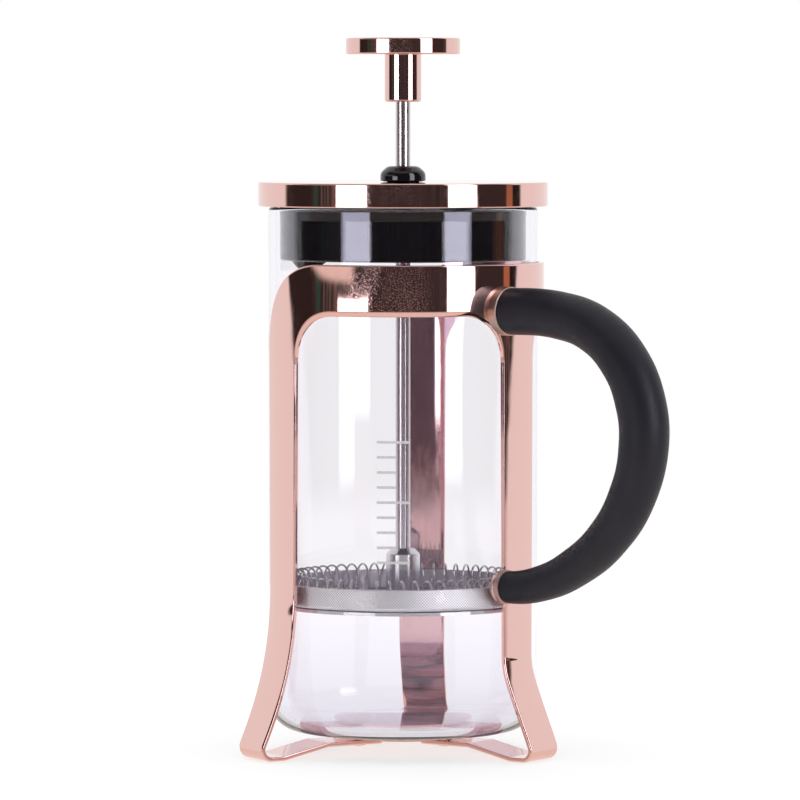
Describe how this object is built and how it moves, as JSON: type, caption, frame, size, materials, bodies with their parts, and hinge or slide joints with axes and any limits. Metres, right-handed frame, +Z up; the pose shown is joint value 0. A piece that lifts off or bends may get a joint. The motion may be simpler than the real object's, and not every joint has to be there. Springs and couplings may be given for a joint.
{
  "type": "french press",
  "caption": "Glass coffee press in a rose-gold plated sheet frame with splayed feet, a black side handle, a flat lid and a knobbed plunger carrying a mesh filter.",
  "frame": {"origin": "on the floor, at the middle of the footprint's bounding box; the press's own axis is 26.0 mm towards -X", "axes": "+Z up along the plunger, +X towards the handle's leg, -X towards the pour spout"},
  "size_m": [0.1338, 0.0897, 0.1932],
  "materials": {
    "rose_gold": "mirror-polished rose-gold plating on steel",
    "steel": "polished stainless steel",
    "filter_mesh": "fine woven stainless wire cloth",
    "clear_glass": "clear borosilicate glass",
    "grip_plastic": "satin black plastic",
    "lid_plastic": "glossy black plastic"
  },
  "bodies": {
    "frame": {"frame": "rose_gold", "base_disc": "rose_gold", "base_rivet_1": "rose_gold", "base_rivet_2": "rose_gold", "base_rivet_3": "rose_gold", "handle_ferrule_upper": "rose_gold", "handle_ferrule_lower": "rose_gold", "handle_screw_upper": "steel", "handle_screw_lower": "steel", "handle_grip": "grip_plastic"},
    "beaker": {"glass_beaker": "clear_glass"},
    "bushing": {"rod_bushing": "lid_plastic", "bushing_nut": "lid_plastic"},
    "lid": {"lid_cover": "rose_gold", "lid_liner": "lid_plastic"},
    "plunger": {"plunger_rod": "steel", "knob_stem": "rose_gold", "knob_disc": "rose_gold", "filter_hub": "steel", "spiral_plate": "steel", "coil_spring": "steel", "mesh_screen": "filter_mesh", "cross_plate": "steel", "filter_nut": "steel"}
  },
  "joints": [
    {"name": "beaker_lift", "type": "slide", "parent": "frame", "child": "beaker", "axis": [0, 0, 1], "range_m": [0, 0.13]},
    {"name": "lid_lift", "type": "slide", "parent": "beaker", "child": "bushing", "axis": [0, 0, 1], "range_m": [0, 0.12]},
    {"name": "lid_turn", "type": "hinge", "parent": "bushing", "child": "lid", "pos_m": [-0.02597, 0, 0.15], "axis": [0, 0, 1], "continuous": true},
    {"name": "plunger_slide", "type": "slide", "parent": "bushing", "child": "plunger", "axis": [0, 0, 1], "range_m": [-0.017, 0.0805]}
  ]
}
